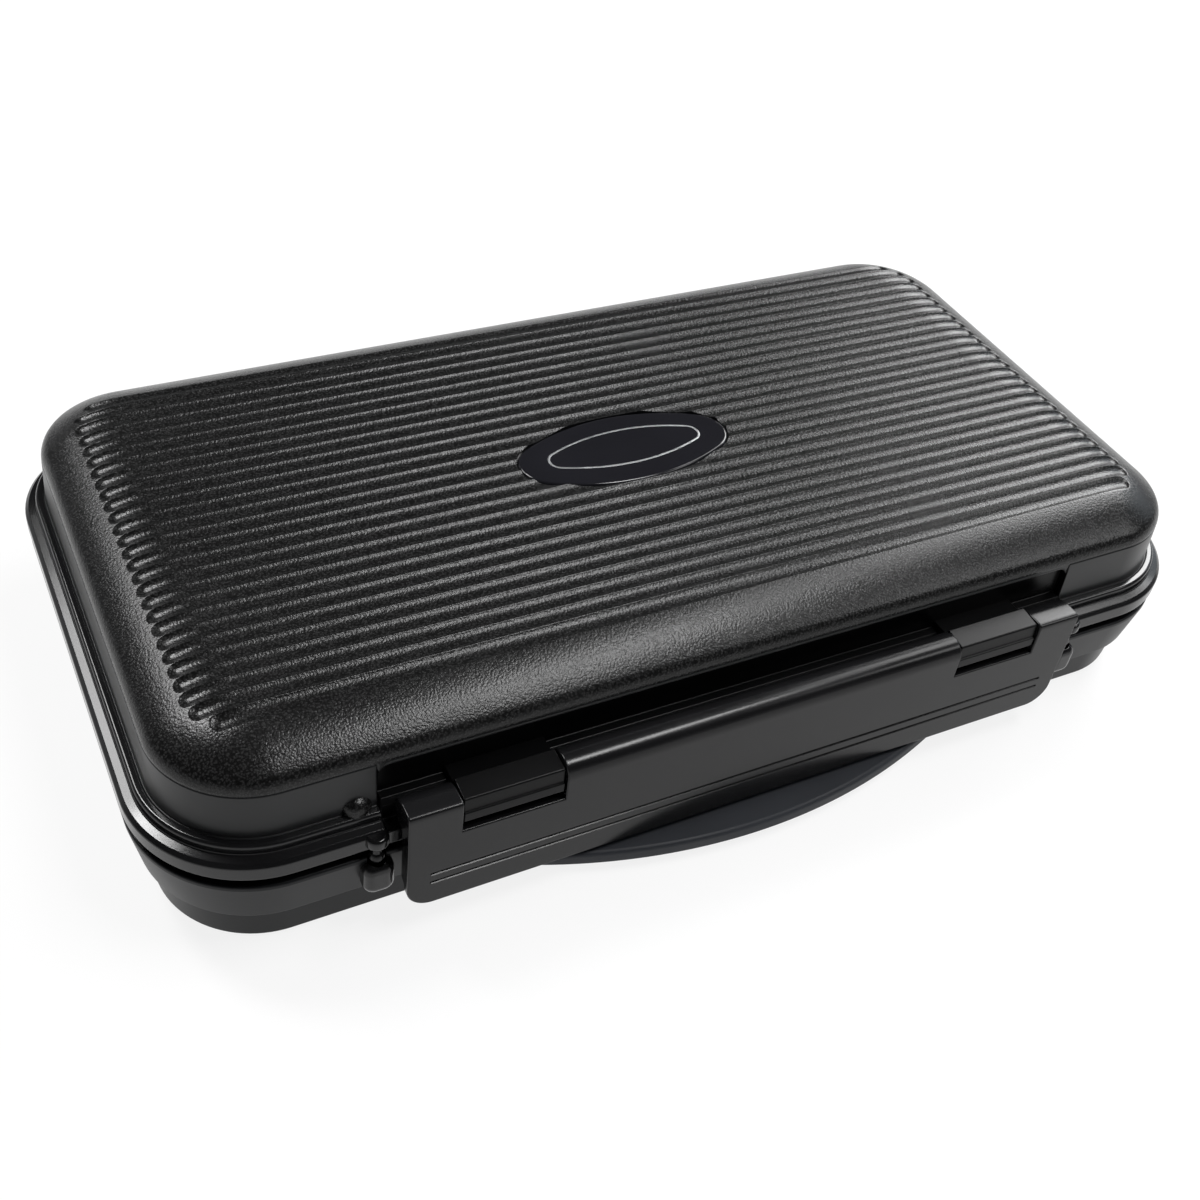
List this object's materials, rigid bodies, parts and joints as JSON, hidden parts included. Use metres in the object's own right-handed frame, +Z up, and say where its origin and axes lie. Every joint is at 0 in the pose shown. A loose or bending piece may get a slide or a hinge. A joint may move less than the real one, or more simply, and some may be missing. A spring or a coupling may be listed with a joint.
{
  "type": "fishing tackle case",
  "caption": "Flat clamshell fishing tackle case with a fluted domed lid, sealed stepped rim, full-width front latch, slide-out bow handle and a compartment tray inside.",
  "frame": {"origin": "centre of the flat underside of the closed case, on the surface that it rests on", "axes": "+X to the right seen from the front, along the width; -Y to the front, where the latch is; +Z up"},
  "size_m": [0.2716, 0.1664, 0.0512],
  "materials": {
    "grained_black": "fine grained, satin",
    "case_black": "smooth satin",
    "latch_black": "glossy",
    "handle_black": "matte, faintly blue",
    "badge_gloss": "high gloss, with a fine metallic ring",
    "seal_rubber": "matte",
    "foam_board": "closed-cell foam",
    "pin_steel": "drawn",
    "screw_steel": "zinc plated",
    "tray_clear": "translucent, frosted"
  },
  "bodies": {
    "base": {"base_shell": "case_black", "bottom_cover": "case_black", "cover_screws": "screw_steel", "hinge_pin_left": "pin_steel", "hinge_pin_right": "pin_steel", "compartment_tray": "tray_clear", "tray_divider_1": "tray_clear", "tray_divider_2": "tray_clear", "tray_divider_3": "tray_clear", "tray_divider_4": "tray_clear", "tray_divider_5": "tray_clear", "tray_divider_6": "tray_clear"},
    "lid": {"lid_shell": "grained_black", "seal_gasket": "seal_rubber", "badge_plate": "badge_gloss", "hook_foam": "foam_board", "snap_stud_left": "latch_black", "snap_stud_right": "latch_black"},
    "latch": {"front_latch": "latch_black", "latch_rod": "pin_steel"},
    "handle": {"carry_handle": "handle_black"}
  },
  "joints": [
    {"name": "lid_hinge", "type": "hinge", "parent": "base", "child": "lid", "pos_m": [0, 0.0778, 0.02465], "axis": [-1, 0, 0], "range_deg": [0, 165]},
    {"name": "latch_swing", "type": "hinge", "parent": "lid", "child": "latch", "pos_m": [0, -0.0744, 0.034], "axis": [-1, 0, 0], "range_deg": [0, 105]},
    {"name": "handle_slide", "type": "slide", "parent": "base", "child": "handle", "axis": [0, -1, 0], "range_m": [0, 0.026]}
  ]
}
